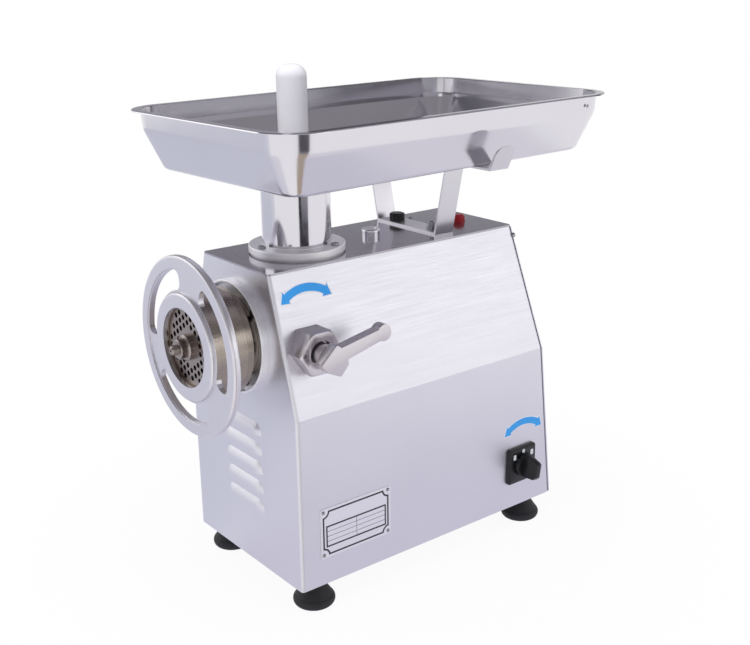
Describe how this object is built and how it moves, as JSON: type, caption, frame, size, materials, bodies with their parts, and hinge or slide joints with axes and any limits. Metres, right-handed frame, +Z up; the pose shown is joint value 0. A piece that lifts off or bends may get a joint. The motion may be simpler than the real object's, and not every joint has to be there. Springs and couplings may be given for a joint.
{
  "type": "electric meat grinder",
  "caption": "Countertop electric meat grinder: folded steel housing on rubber feet, pull-out head with ring wheel, clamp lever, neck and lift-off feed tray.",
  "frame": {"origin": "on the table, in the middle of the footprint of the whole machine", "axes": "+Z up, the outlet faces -Y, the clamp lever and the switch are on the +X side"},
  "size_m": [0.3386, 0.5532, 0.6002],
  "materials": {
    "housing": "satin",
    "deck": "polished",
    "polished_steel": "polished",
    "steel": "machined",
    "cast_aluminium": "cast, satin",
    "wheel_casting": "polished casting",
    "cast_iron": "painted casting",
    "dark_steel": "blackened",
    "bronze": "machined",
    "copper": "enamelled wire",
    "rubber": "moulded",
    "black_plastic": "moulded",
    "white_plastic": "moulded",
    "red_plastic": "moulded",
    "plate": "anodised"
  },
  "bodies": {
    "machine": {"housing_shell": "housing", "deck_plate": "deck", "rear_cover": "housing", "base_plate": "steel", "case_screws": "steel", "foot_front_left": "rubber", "foot_front_right": "rubber", "foot_rear_left": "rubber", "foot_rear_right": "rubber", "foot_screws": "steel", "head_flange": "cast_aluminium", "flange_screws": "dark_steel", "seat_tube": "cast_aluminium", "clamp_boss": "cast_aluminium", "neck": "polished_steel", "neck_screws": "steel", "tray_bracket": "steel", "bracket_knob": "black_plastic", "bracket_bolt": "steel", "deck_cap": "polished_steel", "oil_plug": "red_plastic", "shaft_housing": "cast_iron", "shaft_seal": "rubber", "output_bearings": "steel", "gearbox_case": "cast_aluminium", "gearbox_cover": "cast_aluminium", "gearbox_screws": "steel", "layshaft_bearings": "steel", "motor_frame": "cast_aluminium", "motor_front_bell": "cast_aluminium", "motor_rear_bell": "cast_aluminium", "motor_cradle": "dark_steel", "stator": "cast_iron", "windings": "copper", "motor_bearings": "steel", "capacitor": "white_plastic", "switch_plate": "black_plastic", "switch_body": "black_plastic", "data_plate": "plate", "plate_rivets": "steel", "cable_gland": "black_plastic"},
    "head": {"barrel": "cast_aluminium", "plate_key": "steel", "hole_plate": "steel"},
    "worm_set": {"worm": "steel", "knife": "steel"},
    "ring": {"ring_wheel": "wheel_casting"},
    "clamp": {"clamp_lever": "wheel_casting", "clamp_screw": "dark_steel"},
    "tray_body": {"tray": "polished_steel"},
    "pusher_body": {"pusher": "white_plastic"},
    "output_set": {"output_shaft": "steel", "output_gear": "bronze"},
    "layshaft_set": {"layshaft": "steel", "layshaft_gear": "steel"},
    "motor_rotor": {"rotor": "cast_iron", "rotor_shaft": "steel", "motor_pinion": "steel", "fan": "black_plastic"},
    "switch": {"switch_knob": "black_plastic"}
  },
  "joints": [
    {"name": "drive_spin", "type": "hinge", "parent": "machine", "child": "output_set", "pos_m": [0.00695, 0.00737, 0.3095], "axis": [0, 1, 0], "continuous": true},
    {"name": "layshaft_spin", "type": "hinge", "parent": "machine", "child": "layshaft_set", "pos_m": [0.00695, 0.10737, 0.2245], "axis": [0, 1, 0], "continuous": true},
    {"name": "rotor_spin", "type": "hinge", "parent": "machine", "child": "motor_rotor", "pos_m": [0.00695, -0.04263, 0.1525], "axis": [0, 1, 0], "continuous": true},
    {"name": "barrel_slide", "type": "slide", "parent": "machine", "child": "head", "axis": [0, -1, 0], "range_m": [0, 0.2]},
    {"name": "worm_spin", "type": "hinge", "parent": "head", "child": "worm_set", "pos_m": [0.00695, -0.14263, 0.3095], "axis": [0, 1, 0], "continuous": true},
    {"name": "ring_turn", "type": "hinge", "parent": "head", "child": "ring", "pos_m": [0.00695, -0.23263, 0.3095], "axis": [0, -1, 0], "range_deg": [0, 720]},
    {"name": "lever_turn", "type": "hinge", "parent": "machine", "child": "clamp", "pos_m": [0.12695, -0.15763, 0.3095], "axis": [1, 0, 0], "range_deg": [0, 180]},
    {"name": "switch_turn", "type": "hinge", "parent": "machine", "child": "switch", "pos_m": [0.12695, 0.14787, 0.091], "axis": [1, 0, 0], "range_deg": [-45, 45]},
    {"name": "tray_lift", "type": "slide", "parent": "machine", "child": "tray_body", "axis": [0, 0, 1], "range_m": [0, 0.15]},
    {"name": "pusher_lift", "type": "slide", "parent": "tray_body", "child": "pusher_body", "axis": [0, 0, 1], "range_m": [0, 0.25]}
  ],
  "couplings": [
    {"joint": "worm_spin", "follows": "drive_spin", "ratio": 1},
    {"joint": "layshaft_spin", "follows": "drive_spin", "ratio": -2.8636},
    {"joint": "rotor_spin", "follows": "drive_spin", "ratio": 8.5909}
  ]
}
